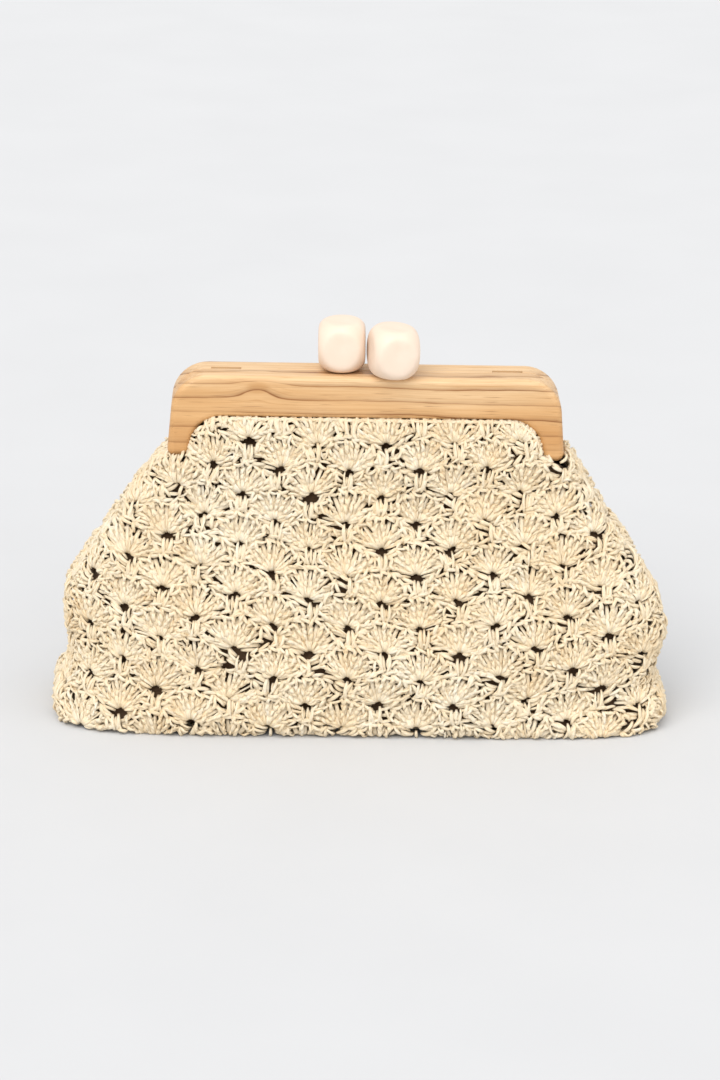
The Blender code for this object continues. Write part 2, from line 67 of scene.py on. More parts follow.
# Outside of the pouch: height, half width, half depth, squareness, depth of the side fold, and how
# far the level sags to one side.
LEVELS = np.array(
    [
        (166.0, 101.5, 13.0, 12.0, 0.0, 0.0),
        (159.0, 102.5, 14.8, 12.0, 0.0, 0.0),
        (154.0, 103.0, 15.8, 12.0, 0.0, 0.0),
        (147.0, 96.5, 17.2, 10.0, 0.0, 1.2),
        (139.0, 97.8, 19.0, 10.0, 0.3, 2.0),
        (131.0, 106.2, 20.0, 6.5, 1.5, 0.4),
        (122.0, 113.4, 21.8, 4.8, 3.5, -0.4),
        (105.0, 125.0, 26.3, 3.5, 5.0, -1.2),
        (85.0, 139.3, 32.0, 3.2, 4.5, 0.0),
        (66.0, 150.9, 37.5, 3.1, 3.0, 0.0),
        (48.0, 152.4, 42.5, 3.1, 2.0, 1.4),
        (34.0, 149.6, 45.5, 3.2, 1.5, 2.0),
        (23.0, 148.8, 45.8, 3.4, 1.0, -0.6),
        (13.0, 153.8, 46.6, 3.8, 0.3, -0.8),
        (5.5, 153.6, 46.5, 4.4, 0.0, -0.6),
        (1.6, 151.0, 44.4, 6.0, 0.0, -0.6),
    ]
)
BASE_HEIGHT = 1.3
SURFACE_STEP = 0.6
AROUND = 258

# Shell stitch.
SHELL_WIDTH = 35.6
ROW_HEIGHT = 13.1
FIRST_ROW = 12.4
ROW_BOW = 0.0005  # rows rise towards both sides by this times the distance across, squared
STRAND_STEPS = 7
STRAND_SIDES = 6
TUCK = 6.0  # over this distance from the arch the fabric curls back into it
TUCKED_DEPTH = 8.6
GROOVE_DEPTH = 9.5  # how far forward of the seam the edge sits once it is in the wood's groove
EDGE_ABOVE_FOOT = 3.0
FLOOR_GAP = 0.05  # nothing of the crochet goes lower than this
SEAM_PITCH, SIDE_PITCH, FOOT_PITCH, ARCH_PITCH = 4.2, 4.4, 3.9, 3.6  # of the chain loops
SIDE_CHAINS = (2.6, 5.4, 8.6)  # distances of the extra chains from each side seam
SIDE_CHAINS_TOP = 30  # they run from this height down

LINING_INSET = 4.6
LINING_FLOOR = 5.0
LINING_TOP_GAP = 3.0  # below the foot, where the lining starts to narrow towards the arch
GATHER_FROM = 138.0
GATHERED_DEPTH = 5.0

BEAD_HALF, BEAD_BALL = 12.2, 15.4
BEAD_STRETCH = Vector((0.955, 1.12, 1.01))
BEAD_TURN = {"front": (0, 3, 10), "rear": (0, -1, -2)}
CUBE_POWER, ROUNDING_POWER = 18, 30  # how sharp the bead's cube is, and how the ball cuts it


def smoothstep(x, low, high):
    t = np.clip((x - low) / (high - low), 0, 1)
    return t * t * (3 - 2 * t)


# ---------------------------------------------------------------- the pouch as a surface


def dense_levels(levels):
    """Levels a small step apart from the top down and on to the middle of the base."""
    heights = np.arange(levels[0, 0], levels[-1, 0], -0.25)
    columns = [
        np.interp(-heights, -levels[:, 0], levels[:, i]) for i in range(1, levels.shape[1])
    ]
    window = np.hanning(39)
    window /= window.sum()
    smooth = [
        np.convolve(np.pad(c, 19, mode="reflect", reflect_type="odd"), window, "valid")
        for c in columns
    ]
    rows = np.column_stack([heights] + smooth)
    last = rows[-1]
    inward = np.arange(0.25, last[2] + 1.0, 0.25)
    base = np.column_stack(
        [
            BASE_HEIGHT + (last[0] - BASE_HEIGHT) * np.exp(-inward / 2.5),
            last[1] - inward,
            last[2] - inward,
            np.full(len(inward), last[3]),
            np.zeros(len(inward)),
            np.full(len(inward), last[5]),
        ]
    )
    return np.vstack([rows, base])


def side_curve(width, depth, power, fold, count=900):
    """A level's outline from the front middle round the right side to the rear middle."""
    angle = np.linspace(-math.pi / 2, math.pi / 2, count)
    c, s = np.cos(angle), np.sin(angle)
    x = width * np.abs(c) ** (2 / power)
    y = depth * np.sign(s) * np.abs(s) ** (2 / power)
    x = x - fold * np.exp(-((y / (0.42 * abs(depth) + 0.5)) ** 2)) * smoothstep(x, 0, 0.7 * width)
    return x, y


class Surface:
    """Positions on the front of the pouch by distance across (a) and down (s) in millimetres.

    s is 0 at the lower edge of the frame's bar and grows down the front and under the base. Across,
    the surface goes on past the side seam on to the rear."""

    def __init__(self, end, tucked):
        levels = dense_levels(LEVELS)
        if end == "rear":
            levels[:, 5] *= -1  # it is turned about, so its sag has to be too
        step = np.hypot(np.diff(levels[:, 2]), np.diff(levels[:, 0]))
        down = np.concatenate([[0], np.cumsum(step)])
        down -= np.interp(-BAR_BOTTOM, -levels[:, 0], down)
        self.start = down[0]
        self.s = np.arange(down[0], down[-1], SURFACE_STEP)
        rows = np.column_stack([np.interp(self.s, down, column) for column in levels.T])
        self.a = np.arange(-AROUND, AROUND + 1, 1.0)
        count = len(self.a)
        self.points = np.zeros((len(self.s), count, 3))
        self.seam = np.zeros(len(self.s))
        for i, (height, width, depth, power, fold, sag) in enumerate(rows):
            x, y = side_curve(width, max(depth, 0.05), power, fold)
            run = np.concatenate([[0], np.cumsum(np.hypot(np.diff(x), np.diff(y)))])
            self.seam[i] = run[len(run) // 2]
            at = np.abs(self.a)
            self.points[i, :, 0] = np.sign(self.a) * np.interp(at, run, x) + sag
            self.points[i, :, 1] = np.interp(at, run, y)
            self.points[i, :, 2] = height
        if tucked:
            self.tuck()
        self.puff()
        self.normals = self.find_normals()

    def tuck(self):
        """Curls the fabric back into the arch along its inside."""
        x, y, z = np.moveaxis(self.points, 2, 0)
        past_x = np.abs(x) - (LEG_INSIDE - ARCH_RADIUS)
        past_z = z - (BAR_BOTTOM - ARCH_RADIUS)
        outside = np.hypot(np.maximum(past_x, 0), np.maximum(past_z, 0))
        room = ARCH_RADIUS - outside - np.minimum(np.maximum(past_x, past_z), 0)
        share = np.clip((room + 0.8) / TUCK, 0, 1)
        share = np.maximum(share, 1 - smoothstep(z, FOOT + 1.0, FOOT + 7.0))
        curl = np.sqrt(1 - (1 - share) ** 2)
        front = y < -TUCKED_DEPTH
        self.points[:, :, 1] = np.where(front, -TUCKED_DEPTH + (y + TUCKED_DEPTH) * curl, y)

    def find_normals(self):
        down = np.gradient(self.points, axis=0)
        across = np.gradient(self.points, axis=1)
        normals = np.cross(down, across)
        normals /= np.linalg.norm(normals, axis=2, keepdims=True) + 1e-12
        middle = len(self.a) // 2
        if normals[len(self.s) // 2, middle, 1] > 0:
            normals = -normals
        return normals

    def puff(self):
        """Slack, soft undulations of the whole fabric."""
        normals = self.find_normals()
        s, a = np.meshgrid(self.s, self.a, indexing="ij")
        wave = np.random.default_rng(5)
        lift = np.zeros_like(s)
        for length, size in ((95, 1.3), (60, 1.0), (42, 0.7), (30, 0.45)):
            for _ in range(4):
                way = wave.uniform(0, math.pi)
                phase = wave.uniform(0, 2 * math.pi)
                lift += size / 2 * np.sin(
                    2 * math.pi / length * (a * math.cos(way) + s * math.sin(way)) + phase
                )
        calm = smoothstep(self.points[:, :, 2], 0.0, 16.0) * (
            1 - smoothstep(self.points[:, :, 2], 128.0, 146.0)
        )
        calm *= 1 - np.exp(-(((np.abs(a) - self.seam[:, None]) / 14) ** 2))
        self.points = self.points + (lift * calm)[:, :, None] * normals

    def weights(self, a, s):
        u = np.clip(a - self.a[0], 0, len(self.a) - 1.001)
        v = np.clip((s - self.start) / SURFACE_STEP, 0, len(self.s) - 1.001)
        i, j = v.astype(int), u.astype(int)
        return i, j, (v - i)[..., None], (u - j)[..., None]

    def sample(self, table, a, s):
        i, j, v, u = self.weights(a, s)
        top = table[i, j] * (1 - u) + table[i, j + 1] * u
        low = table[i + 1, j] * (1 - u) + table[i + 1, j + 1] * u
        return top * (1 - v) + low * v

    def at(self, a, s, h=0.0):
        """Points, and outward directions, at distance h off the surface."""
        normal = self.sample(self.normals, a, s)
        normal /= np.linalg.norm(normal, axis=-1, keepdims=True) + 1e-12
        return self.sample(self.points, a, s) + np.asarray(h)[..., None] * normal, normal

    def seam_at(self, s):
        return np.interp(s, self.s, self.seam)

    def down_at(self, height):
        """Distance down the front to this height."""
        middle = self.points[:, len(self.a) // 2, 2]
        return np.interp(-height, -middle, self.s)

    def across_at(self, x, s):
        """Distance across to this half width, on the front, at this distance down."""
        run = np.arange(0, float(self.seam_at(s)), 1.0)
        reach = self.sample(self.points, run, np.full(len(run), float(s)))[:, 0]
        return float(np.interp(x, np.maximum.accumulate(reach), run))

    @property
    def end(self):
        return self.s[-1]


def arch_inside(z):
    """Half width of the arch's opening at this height."""
    painted_light_by_height = np.clip(z - (BAR_BOTTOM - ARCH_RADIUS), 0, ARCH_RADIUS)
    return LEG_INSIDE - ARCH_RADIUS + np.sqrt(ARCH_RADIUS**2 - painted_light_by_height**2)


def edge_height(x):
    """Height of the fabric's edge in front of the feet and outside them."""
    return FOOT + EDGE_ABOVE_FOOT + 0.4 * smoothstep(np.abs(x), HALF_WIDTH - 1, HALF_WIDTH + 3.5)


# ---------------------------------------------------------------- strands


class Strands:
    """Strands of straw, each four control points (across, down, off the surface) in millimetres."""

    def __init__(self):
        self.control, self.width, self.thick, self.tone, self.taper = [], [], [], [], []

    def add(self, points, width, thick, tone=0.0, taper=0.42):
        self.control.append(points)
        self.width.append(width)
        self.thick.append(thick)
        self.tone.append(tone)
        self.taper.append(taper)

    def leaf(self, p, q, width, lift, sink=-0.5, thick=None, tone=0.0, bow=0.0, taper=0.5):
        """A strand from p to q that rises to lift between its ends, which sink under others."""
        p, q = np.asarray(p, float), np.asarray(q, float)
        way = q - p
        side = np.array([way[1], -way[0]]) * bow
        near, far = p + 0.3 * way + side, p + 0.7 * way + side
        top = lift * 1.33 - sink * 0.33
        self.add(
            ((*p, sink), (*near, top), (*far, top), (*q, sink)),
            width,
            width * 0.62 if thick is None else thick,
            tone,
            taper,
        )


def rot(p, q, angle):
    c, s = math.cos(angle), math.sin(angle)
    return p * c - q * s, p * s + q * c


def shell(out, a0, s0, scale, rng):
    """One shell: posts that fan out of a hole, chain loops along its rim, and the stitch on top."""
    turn = rng.normal(-0.03, 0.09)
    size = 1 + rng.normal(0, 0.035)
    a0 = a0 + rng.normal(0, 0.6)
    s0 = s0 + rng.normal(0, 0.4)

    def spot(p, q):
        p, q = rot(p * size, q * size, turn)
        across = a0 + p * scale
        return np.array([across, s0 - q - ROW_BOW * across**2])

    posts = int(rng.integers(8, 10))
    reach_p, base_q, reach_q = 14.2, 3.6, 12.2
    angles = np.linspace(-1.3, 1.3, posts) + rng.normal(0, 0.05, posts)
    rim = []
    for angle in angles:
        stretch = 1 + rng.normal(0, 0.05)
        way = np.array([math.sin(angle), math.cos(angle)])
        across = np.array([way[1], -way[0]])
        end = np.array(
            [reach_p * way[0] * stretch, base_q * (0.5 + 0.5 * way[1]) + reach_q * way[1] * stretch]
        )
        rim.append(end)
        root = np.array([1.5 * way[0], 0.7 + 0.7 * way[1]]) + rng.normal(0, 0.15, 2)
        tone = rng.normal(0, 0.5)

        def along(share, aside=0.0):
            return root + (end - root) * share + across * aside

        # Lower part: one long strand out of the hole, half over a second one.
        hand = rng.choice((-1, 1))
        for over, lift in ((hand, 1.3), (-hand, 0.6)):
            out.leaf(
                spot(*along(0.0, over * 0.25)),
                spot(*along(0.44 + rng.normal(0, 0.05), over * (0.7 + rng.normal(0, 0.2)))),
                1.9 + rng.normal(0, 0.2),
                lift + rng.normal(0, 0.2),
                sink=-0.5,
                tone=tone + rng.normal(0, 0.35),
                bow=rng.normal(0, 0.07),
            )
        # Middle and upper part: pairs of short strands that cross like a plait.
        for low, high, reach, lift in (
            (0.30, 0.60, 0.95, 1.3), (0.50, 0.83, 1.2, 1.55), (0.72, 1.06, 1.45, 1.6)
        ):
            lean = rng.normal(0, 0.35)
            for over in (-1, 1):
                out.leaf(
                    spot(*along(low + rng.normal(0, 0.03), -over * 0.35 + lean * 0.5)),
                    spot(*along(high + rng.normal(0, 0.04), over * reach + lean)),
                    1.8 + rng.normal(0, 0.2),
                    lift + hand * over * 0.3 + rng.normal(0, 0.3),
                    sink=-0.3,
                    tone=tone + rng.normal(0, 0.5),
                    bow=over * 0.12 + rng.normal(0, 0.08),
                )
    # Strands behind the posts, which close the view between them.
    for one, two in zip(angles, angles[1:]):
        angle = (one + two) / 2
        out.leaf(
            spot(1.9 * math.sin(angle), 1.6 + 0.6 * math.cos(angle)),
            spot(reach_p * 0.97 * math.sin(angle), base_q * 0.9 + reach_q * 0.95 * math.cos(angle)),
            2.6 + rng.normal(0, 0.2),
            0.25,
            sink=-0.8,
            thick=1.1,
            tone=0.3 + rng.normal(0, 0.5),
            taper=0.7,
        )
    for hand in (-1, 1):
        for start, stop, lift in (((2.0, 0.8), (11.8, 2.6), 0.5), ((2.9, -0.6), (12.4, -0.2), 0.1)):
            out.leaf(
                spot(hand * start[0], start[1]),
                spot(hand * (stop[0] + rng.normal(0, 0.6)), stop[1] + rng.normal(0, 0.5)),
                2.1 + rng.normal(0, 0.2),
                lift + rng.normal(0, 0.15),
                sink=-0.8,
                tone=rng.normal(0, 0.4),
                bow=hand * 0.08,
            )
    # Chain loops along the rim.
    rim = np.array(rim)
    for i in range(len(rim) - 1):
        first, last = rim[i], rim[i + 1]
        way = (last - first) / np.hypot(*(last - first))
        outward = np.array([-way[1], way[0]])
        middle = (first + last) / 2 + outward * 1.1
        for hand in (-1, 1):
            slant = hand * rng.normal(0.32, 0.12) + rng.normal(0, 0.08)
            arm = np.array(rot(*(way * (3.3 + rng.normal(0, 0.3))), slant))
            centre = middle + outward * hand * 0.8 + rng.normal(0, 0.25, 2)
            out.leaf(
                spot(*(centre - arm)),
                spot(*(centre + arm)),
                1.9 + rng.normal(0, 0.2),
                1.7 + rng.normal(0, 0.3),
                sink=-0.1,
                tone=rng.normal(0.1, 0.5),
                bow=hand * 0.08 + rng.normal(0, 0.1),
            )
    # The single stitch on the shell's top, which pins it to the row above.
    top = np.array([rng.normal(0, 0.5), base_q + reach_q])
    out.leaf(
        spot(*(top + (0.0, 1.0))),
        spot(*(top + (rng.normal(0, 0.9), 8.6 + rng.normal(0, 0.5)))),
        2.0 + rng.normal(0, 0.2),
        1.0,
        sink=-0.5,
        tone=rng.normal(0, 0.4),
    )
    for hand in (-1, 1):
        out.leaf(
            spot(*(top + (hand * 0.3, -0.2))),
            spot(*(top + (hand * (1.9 + rng.normal(0, 0.5)), 9.4 + rng.normal(0, 0.6)))),
            2.1 + rng.normal(0, 0.2),
            1.9 + rng.normal(0, 0.25),
            sink=0.0,
            tone=rng.normal(0.2, 0.4),
            bow=-hand * 0.1,
        )
        out.leaf(
            spot(*(top + (hand * 3.4, 0.2))),
            spot(*(top + (hand * (0.6 + rng.normal(0, 0.3)), 7.2))),
            2.0 + rng.normal(0, 0.2),
            1.2,
            sink=-0.4,
            tone=rng.normal(-0.2, 0.4),
            bow=hand * 0.06,
        )
        # Strands from the stitch out to both sides, under the next row's posts.
        for start, stop, lift, sink in (
            ((1.7, 7.2), (8.6, 10.2), 1.0, -0.5),
            ((2.4, 3.6), (9.0, 4.8), 0.5, -0.7),
            ((2.0, 5.4), (9.5, 7.4), 0.1, -0.9),
            ((3.8, 8.8), (10.5, 13.2), -0.2, -1.0),
        ):
            out.leaf(
                spot(*(top + (hand * start[0], start[1] + rng.normal(0, 0.5)))),
                spot(
                    *(top + (hand * (stop[0] + rng.normal(0, 0.5)), stop[1] + rng.normal(0, 0.7)))
                ),
                2.15 + rng.normal(0, 0.2),
                lift + rng.normal(0, 0.15),
                sink=sink,
                tone=rng.normal(0, 0.4),
                bow=hand * rng.uniform(-0.12, 0.08),
            )


def chain(out, route, pitch, rng, width=1.7, lift=2.0, spread=0.85):
    """Chain loops along a route of (across, down) points."""
    route = np.asarray(route, float)
    run = np.concatenate([[0], np.cumsum(np.hypot(*np.diff(route, axis=0).T))])
    for at in np.arange(0, run[-1] - pitch, pitch):
        p = np.array([np.interp(at, run, route[:, i]) for i in (0, 1)])
        q = np.array([np.interp(at + pitch * 1.75, run, route[:, i]) for i in (0, 1)])
        way = (q - p) / (np.hypot(*(q - p)) + 1e-9)
        side = np.array([-way[1], way[0]])
        for hand in (-1, 1):
            out.leaf(
                p + side * hand * 0.35,
                q + side * hand * spread * (1 + rng.normal(0, 0.12)),
                width + rng.normal(0, 0.14),
                lift + rng.normal(0, 0.2),
                sink=0.3,
                tone=rng.normal(0, 0.5),
                bow=hand * 0.12,
            )


def crochet_strands(surface, rng):
    """All strands of one half of the pouch."""
    out = Strands()
    rows = int((surface.end - FIRST_ROW) / ROW_HEIGHT) + 2
    for row in range(-2, rows + 1):
        s0 = FIRST_ROW + row * ROW_HEIGHT
        scale = 0.94 + 0.11 * smoothstep(s0, 0, 130)
        for k in range(-8, 9):
            a0 = (k + (-0.25 if row % 2 else 0.25)) * SHELL_WIDTH * scale
            if abs(a0) > surface.seam_at(s0 - ROW_BOW * a0**2 - 8) + 24:
                continue
            shell(out, a0, s0, scale, rng)
    # Seams down both sides, and the fabric's edge over and outside the feet.
    downs = np.arange(surface.down_at(edge_height(HALF_WIDTH + 4)), surface.end, 2.0)
    low = downs[downs > surface.down_at(SIDE_CHAINS_TOP)]
    for hand in (-1, 1):
        chain(out, [(hand * surface.seam_at(s), s) for s in downs], SEAM_PITCH, rng, lift=1.4)
        for aside in SIDE_CHAINS:
            route = [(hand * (surface.seam_at(s) - aside), s + aside / 3) for s in low]
            chain(out, route, SIDE_PITCH, rng, width=2.0, lift=0.5, spread=1.1)
        at_foot = surface.down_at(FOOT + 2.0)
        start = surface.across_at(LEG_INSIDE - 1.0, at_foot)
        route = []
        for a in np.arange(start, surface.seam_at(at_foot) + 2.0, 1.5):
            point, _ = surface.at(np.array([a]), np.array([surface.down_at(FOOT + 2)]))
            route.append((hand * a, surface.down_at(edge_height(point[0, 0]))))
        chain(out, route, FOOT_PITCH, rng, lift=1.3)
    chain(out, arch_route(surface), ARCH_PITCH, rng, width=1.9, lift=1.2, spread=0.6)
    return out


def arch_route(surface):
    """The (across, down) line just inside the arch, from one foot up and over to the other."""
    half = []
    for z in np.arange(FOOT + EDGE_ABOVE_FOOT, BAR_BOTTOM - 1.2, 1.0):
        s = surface.down_at(z)
        half.append((surface.across_at(arch_inside(z + 0.6) - 1.5, s), s))
    under = surface.down_at(BAR_BOTTOM - 1.3)
    flat = np.arange(half[-1][0] - 2.0, 0.0, -2.0)
    half += [(a, under) for a in flat]
    return half + [(-a, s) for a, s in half[::-1]]


def bezier(control, steps):
    t = np.linspace(0, 1, steps)[None, :, None]
    c = control[:, :, None, :]
    return (
        (1 - t) ** 3 * c[:, 0] + 3 * (1 - t) ** 2 * t * c[:, 1]
        + 3 * (1 - t) * t**2 * c[:, 2] + t**3 * c[:, 3]
    )


def dive(points):
    """Turns what reaches past the arch's inside back into the groove in the wood."""
    x, y, z = points[..., 0], points[..., 1], points[..., 2]
    past_x = np.abs(x) - (LEG_INSIDE - ARCH_RADIUS)
    past_z = z - (BAR_BOTTOM - ARCH_RADIUS)
    round_out = np.hypot(np.maximum(past_x, 0), np.maximum(past_z, 0)) - ARCH_RADIUS
    past = np.where(z < edge_height(x), -1.0, round_out)
    share = smoothstep(past, -0.4, 1.2)
    points[..., 1] = np.where(y < 0, y + (np.maximum(y, -GROOVE_DEPTH) - y) * share, y)
    return points


def keep_inside(points):
    """Which strands lie on the fabric: under the bar, between the legs, or below the edge."""
    x, z = np.abs(points[:, 0]), points[:, 2]
    in_arch = (z < BAR_BOTTOM + 2.6) & (x < arch_inside(z) + 2.6)
    return in_arch | (z < edge_height(x))


def stick_out(lines):
    """Which strands (strands, steps, 3) have a point well above the edge beside the feet."""
    x, z = np.abs(lines[..., 0]), lines[..., 2]
    return ((x > LEG_INSIDE + 4.0) & (z > edge_height(x) + 1.2)).any(axis=1)


def strand_mesh(name, centre, normal, width, thick, taper, tone):
    """One mesh of closed tubes along these centre lines (strands, steps, 3), in millimetres."""
    count, steps, _ = centre.shape
    sides = STRAND_SIDES
    tangent = np.gradient(centre, axis=1)
    tangent /= np.linalg.norm(tangent, axis=2, keepdims=True) + 1e-9
    side = np.cross(tangent, normal)
    side /= np.linalg.norm(side, axis=2, keepdims=True) + 1e-9
    up = np.cross(side, tangent)
    t = np.linspace(0, 1, steps)
    swell = np.sin(math.pi * np.clip(t, 0.02, 0.98)) ** 0.6
    profile = taper[:, None] + (1 - taper[:, None]) * swell[None, :]
    angle = np.linspace(0, 2 * math.pi, sides, endpoint=False)
    twist = (RNG.normal(0, 0.5, count)[:, None] + RNG.normal(0, 0.45, count)[:, None] * (t - 0.5))
    c = np.cos(angle)[None, None, :]
    s = np.sin(angle)[None, None, :]
    crease = 1 + 0.14 * np.cos(2 * angle + 1.1)[None, None, :] * np.sin(
        2.5 * t[None, :, None] * math.pi + RNG.uniform(0, 6.28, count)[:, None, None]
    )
    e1 = (width[:, None] / 2 * profile)[:, :, None] * c * crease
    e2 = (thick[:, None] / 2 * profile)[:, :, None] * s * crease
    ct, st = np.cos(twist)[:, :, None], np.sin(twist)[:, :, None]
    f1, f2 = e1 * ct - e2 * st, e1 * st + e2 * ct
    ring = (
        centre[:, :, None, :]
        + f1[..., None] * side[:, :, None, :]
        + f2[..., None] * up[:, :, None, :]
    )
    ring[..., 2] = np.maximum(ring[..., 2], FLOOR_GAP)  # what touches the floor is flattened on it
    verts = ring.reshape(-1, 3) * MM
    base = (np.arange(count) * steps * sides)[:, None, None]
    step = (np.arange(steps - 1) * sides)[None, :, None]
    j = np.arange(sides)[None, None, :]
    k = (j + 1) % sides
    quads = np.stack(
        [base + step + j, base + step + k, base + step + sides + k, base + step + sides + j], -1
    ).reshape(-1, 4)
    caps = np.concatenate(
        [
            (base[:, :, 0] + np.arange(sides)[None, ::-1]),
            (base[:, :, 0] + (steps - 1) * sides + np.arange(sides)[None, :]),
        ]
    )
    loops = np.concatenate([quads.ravel(), caps.ravel()]).astype(np.int32)
    sizes = np.concatenate([np.full(len(quads), 4), np.full(len(caps), sides)])
    starts = np.concatenate([[0], np.cumsum(sizes)[:-1]]).astype(np.int32)
    mesh = bpy.data.meshes.new(name)
    mesh.vertices.add(len(verts))
    mesh.vertices.foreach_set("co", verts.astype(np.float32).ravel())
    mesh.loops.add(len(loops))
    mesh.loops.foreach_set("vertex_index", loops)
    mesh.polygons.add(len(sizes))
    mesh.polygons.foreach_set("loop_start", starts)
    mesh.polygons.foreach_set("use_smooth", np.ones(len(sizes), bool))
    mesh.update(calc_edges=True)
    mesh.validate()
    # Where a point is on its strand: round it and along it in millimetres; and the strand's tone,
    # with how near the point is to an end, which drives the painted shade at the strand ends.
    length = np.linalg.norm(np.diff(centre, axis=1), axis=2).sum(1)
    around = np.broadcast_to((c + 0 * s) * width[:, None, None], (count, steps, sides))
    offset = RNG.uniform(0, 900, count)[:, None, None]
    along = t[None, :, None] * length[:, None, None] + offset
    along = np.broadcast_to(along, (count, steps, sides))
    depth = np.broadcast_to(np.sin(angle)[None, None, :], (count, steps, sides)) + along * 0
    ends = np.broadcast_to(np.minimum(t, 1 - t)[None, :, None], (count, steps, sides))
    tones = np.broadcast_to(tone[:, None, None], (count, steps, sides))
    place = mesh.attributes.new("strand", "FLOAT_VECTOR", "POINT")
    place.data.foreach_set(
        "vector", np.stack([around, along, depth], -1).astype(np.float32).ravel()
    )
    look = mesh.attributes.new("strand_tone", "FLOAT_VECTOR", "POINT")
    look.data.foreach_set(
        "vector", np.stack([tones, ends, tones * 0], -1).astype(np.float32).ravel()
    )
    return mesh


# ---------------------------------------------------------------- materials


class Nodes:
    """Short ways to build a material's nodes."""

    def __init__(self, name):
        self.material = bpy.data.materials.new(name)
        self.material.use_nodes = True
        self.tree = self.material.node_tree
        self.shader = self.tree.nodes["Principled BSDF"]

    def node(self, kind, **values):
        made = self.tree.nodes.new("ShaderNode" + kind)
        for key, value in values.items():
            setattr(made, key, value)
        return made

    def link(self, a, b):
        self.tree.links.new(a, b)

    def put(self, socket, value):
        if isinstance(value, bpy.types.NodeSocket):
            self.link(value, socket)
        else:
            socket.default_value = value

    def math(self, operation, a, b=0.0, c=0.0):
        made = self.node("Math", operation=operation)
        for socket, value in zip(made.inputs, (a, b, c)):
            self.put(socket, value)
        return made.outputs[0]

    def attribute(self, name):
        return self.node("Attribute", attribute_name=name).outputs["Vector"]

    def position(self):
        return self.node("TexCoord").outputs["Object"]

    def split(self, vector):
        made = self.node("SeparateXYZ")
        self.put(made.inputs[0], vector)
        return made.outputs

    def scaled(self, vector, scale, offset=(0, 0, 0)):
        made = self.node("Mapping")
        self.put(made.inputs["Vector"], vector)
        made.inputs["Scale"].default_value = scale
        made.inputs["Location"].default_value = offset
        return made.outputs[0]

    def noise(self, vector, scale, detail=3.0, rough=0.5, distortion=0.0):
        made = self.node("TexNoise")
        self.put(made.inputs["Vector"], vector)
        made.inputs["Scale"].default_value = scale
        made.inputs["Detail"].default_value = detail
        made.inputs["Roughness"].default_value = rough
        made.inputs["Distortion"].default_value = distortion
        return made.outputs["Fac"]

    def remap(self, value, low, high, to_low=0.0, to_high=1.0, smooth=False):
        made = self.node("MapRange")
        made.interpolation_type = "SMOOTHSTEP" if smooth else "LINEAR"
        self.put(made.inputs["Value"], value)
        for key, number in (
            ("From Min", low), ("From Max", high), ("To Min", to_low), ("To Max", to_high)
        ):
            self.put(made.inputs[key], number)
        return made.outputs["Result"]

    def mix(self, share, a, b, blend="MIX"):
        made = self.node("Mix", data_type="RGBA", blend_type=blend)
        self.put(made.inputs["Factor"], share)
        self.put(made.inputs[6], a)
        self.put(made.inputs[7], b)
        return made.outputs[2]

    def ramp(self, value, stops):
        made = self.node("ValToRGB")
        self.put(made.inputs[0], value)
        elements = made.color_ramp.elements
        while len(elements) < len(stops):
            elements.new(0.5)
        for element, (place, colour) in zip(elements, stops):
            element.position = place
            element.color = colour
        return made.outputs[0]

    def bump(self, height, distance, strength=1.0):
        made = self.node("Bump")
        made.inputs["Distance"].default_value = distance
        made.inputs["Strength"].default_value = strength
        self.put(made.inputs["Height"], height)
        self.link(made.outputs[0], self.shader.inputs["Normal"])

    def surface(self, colour, roughness, metallic=0.0, specular=0.5):
        self.put(self.shader.inputs["Base Color"], colour)
        self.put(self.shader.inputs["Roughness"], roughness)
        self.shader.inputs["Metallic"].default_value = metallic
        self.shader.inputs["Specular IOR Level"].default_value = specular
        return self.material


def rgb(r, g, b):
    """A colour from its sRGB bytes."""
    linear = [
        c / 12.92 if c <= 0.04045 else ((c + 0.055) / 1.055) ** 2.4
        for c in (r / 255, g / 255, b / 255)
    ]
    return (*linear, 1.0)


def raffia_material():
    n = Nodes("raffia")
    strand = n.attribute("strand")
    tone, ends, _ = n.split(n.attribute("strand_tone"))
    fibre = n.noise(n.scaled(strand, (2.6, 0.16, 1.2)), 1.0, 4, 0.65)
    fine = n.noise(n.scaled(strand, (7.0, 0.5, 4.0)), 1.0, 2, 0.5)
    patch = n.noise(n.position(), 26.0, 2, 0.5)
    light = n.math("MULTIPLY_ADD", tone, 0.16, n.remap(fibre, 0.3, 0.7, 0.1, 0.9))
    light = n.math("ADD", light, n.remap(patch, 0.3, 0.7, -0.16, 0.16))
    colour = n.ramp(
        light,
        [
            (0.0, rgb(236, 206, 162)),
            (0.3, rgb(250, 228, 190)),
            (0.65, rgb(255, 239, 210)),
            (1.0, rgb(255, 247, 228)),
        ],
    )
    # Painted shade: each strand is darkened towards its ends, where it passes under other strands.
    painted_end_shade = n.remap(ends, 0.0, 0.12, 0.35, 0.0, smooth=True)
    colour = n.mix(painted_end_shade, colour, rgb(176, 142, 92))
    speck = n.remap(fine, 0.66, 0.8, 0.0, 0.35)
    colour = n.mix(speck, colour, rgb(176, 148, 98))
    ridge = n.math("ADD", n.math("MULTIPLY", fibre, 1.0), n.math("MULTIPLY", fine, 0.5))
    n.bump(ridge, 0.0007, 0.8)
    return n.surface(colour, n.remap(fibre, 0.3, 0.7, 0.66, 0.46), specular=0.4)


RING_WIDTH = 0.0072  # of the board's growth rings, in metres
KNOT_LENGTH, KNOT_HEIGHT = 0.010, 0.0050


def knot(n, x, z):
    """1 at a small knot in the board, falling off over a longer distance along the grain."""
    at_x, _, at_z = n.split(n.position())
    far_x = n.math("DIVIDE", n.math("SUBTRACT", at_x, x), KNOT_LENGTH)
    far_z = n.math("DIVIDE", n.math("SUBTRACT", at_z, z), KNOT_HEIGHT)
    far = n.math("MULTIPLY_ADD", far_x, far_x, n.math("MULTIPLY", far_z, far_z))
    return n.math("EXPONENT", n.math("MULTIPLY", far, -1.0))


